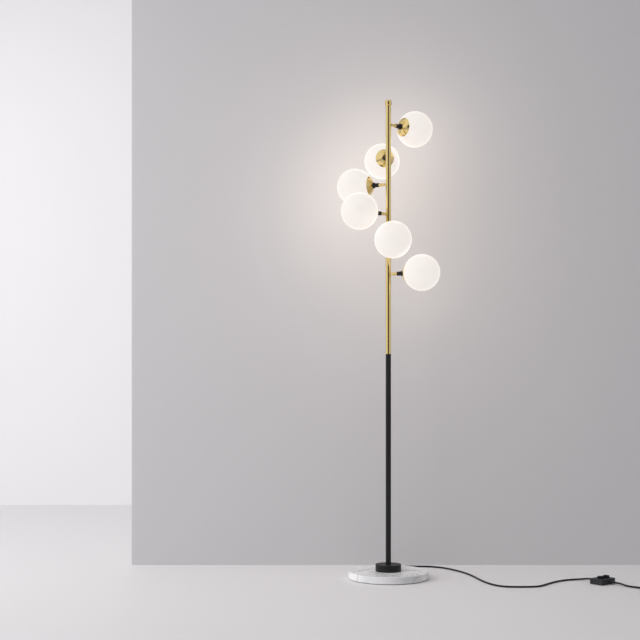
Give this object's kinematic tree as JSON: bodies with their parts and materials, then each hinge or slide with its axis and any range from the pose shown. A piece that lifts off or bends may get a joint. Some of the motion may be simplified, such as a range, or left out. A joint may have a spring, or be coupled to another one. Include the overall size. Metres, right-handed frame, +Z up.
{
  "type": "tree floor lamp",
  "caption": "Floor lamp: round marble base, slim black and brass pole, opal globe lights on short arms in a rising spiral, mains cord with a foot switch and a plug.",
  "frame": {"origin": "on the floor under the pole's axis, at the centre of the round base", "axes": "+Z up along the pole; -Y faces the picture's camera; +X to its right, the way the cord runs"},
  "size_m": [1.1866, 0.604, 1.8],
  "materials": {
    "marble": "polished",
    "pad_rubber": "matte",
    "black_metal": "satin",
    "polished_brass": "polished",
    "carrier_brass": "satin",
    "opal_glass": "satin",
    "steel": "satin",
    "socket_ceramic": "satin",
    "bulb_shell": "gloss",
    "wire_insulation": "satin",
    "splice_plastic": "matte",
    "cord_sheath": "satin",
    "switch_plastic": "satin",
    "plug_plastic": "satin",
    "pin_metal": "polished"
  },
  "bodies": {
    "lamp_frame": {"arm_1": "polished_brass", "arm_2": "polished_brass", "arm_3": "polished_brass", "arm_4": "polished_brass", "arm_5": "polished_brass", "arm_6": "polished_brass", "base_collar": "black_metal", "base_nut": "steel", "base_washer": "steel", "branch_wires": "wire_insulation", "cord_coil": "cord_sheath", "cord_gland": "cord_sheath", "cord_to_coil": "cord_sheath", "cord_to_switch": "cord_sheath", "dish_1": "polished_brass", "dish_2": "polished_brass", "dish_3": "polished_brass", "dish_4": "polished_brass", "dish_5": "polished_brass", "dish_6": "polished_brass", "finial": "polished_brass", "foot_pad": "pad_rubber", "g9_sockets": "socket_ceramic", "globe_galleries": "carrier_brass", "lamp_holder_1": "black_metal", "lamp_holder_2": "black_metal", "lamp_holder_3": "black_metal", "lamp_holder_4": "black_metal", "lamp_holder_5": "black_metal", "lamp_holder_6": "black_metal", "led_bulbs": "bulb_shell", "lower_tube": "black_metal", "marble_base": "marble", "pedal_spring_1": "steel", "pedal_spring_2": "steel", "plug_body": "plug_plastic", "plug_pins": "pin_metal", "pole_foot_plug": "steel", "set_screw": "steel", "supply_wires": "wire_insulation", "switch_base": "switch_plastic", "switch_contacts": "splice_plastic", "switch_cover": "switch_plastic", "switch_feet": "pad_rubber", "switch_glands": "switch_plastic", "switch_screws": "steel", "tie_tube": "steel", "tube_coupling": "polished_brass", "upper_tube": "polished_brass", "wire_splice": "splice_plastic"},
    "glass_1": {"globe_1": "opal_glass"},
    "glass_2": {"globe_2": "opal_glass"},
    "glass_3": {"globe_3": "opal_glass"},
    "glass_4": {"globe_4": "opal_glass"},
    "glass_5": {"globe_5": "opal_glass"},
    "glass_6": {"globe_6": "opal_glass"},
    "pedal_1": {"switch_pedal_1": "switch_plastic"},
    "pedal_2": {"switch_pedal_2": "switch_plastic"}
  },
  "joints": [
    {"name": "glass_1_off", "type": "slide", "parent": "lamp_frame", "child": "glass_1", "axis": [0.788, 0.6157, 0], "range_m": [0, 0.07]},
    {"name": "glass_2_off", "type": "slide", "parent": "lamp_frame", "child": "glass_2", "axis": [-0.1219, 0.9925, 0], "range_m": [0, 0.07]},
    {"name": "glass_3_off", "type": "slide", "parent": "lamp_frame", "child": "glass_3", "axis": [-0.9135, 0.4067, 0], "range_m": [0, 0.07]},
    {"name": "glass_4_off", "type": "slide", "parent": "lamp_frame", "child": "glass_4", "axis": [-0.8192, -0.5736, 0], "range_m": [0, 0.07]},
    {"name": "glass_5_off", "type": "slide", "parent": "lamp_frame", "child": "glass_5", "axis": [0.0698, -0.9976, 0], "range_m": [0, 0.07]},
    {"name": "glass_6_off", "type": "slide", "parent": "lamp_frame", "child": "glass_6", "axis": [0.891, -0.454, 0], "range_m": [0, 0.07]},
    {"name": "pedal_1_press", "type": "slide", "parent": "lamp_frame", "child": "pedal_1", "axis": [0, 0, 1], "range_m": [-0.003, 0], "stiffness_N_per_m": 500, "deforming": ["pedal_spring_1"]},
    {"name": "pedal_2_press", "type": "slide", "parent": "lamp_frame", "child": "pedal_2", "axis": [0, 0, 1], "range_m": [-0.003, 0], "stiffness_N_per_m": 500, "deforming": ["pedal_spring_2"]}
  ]
}
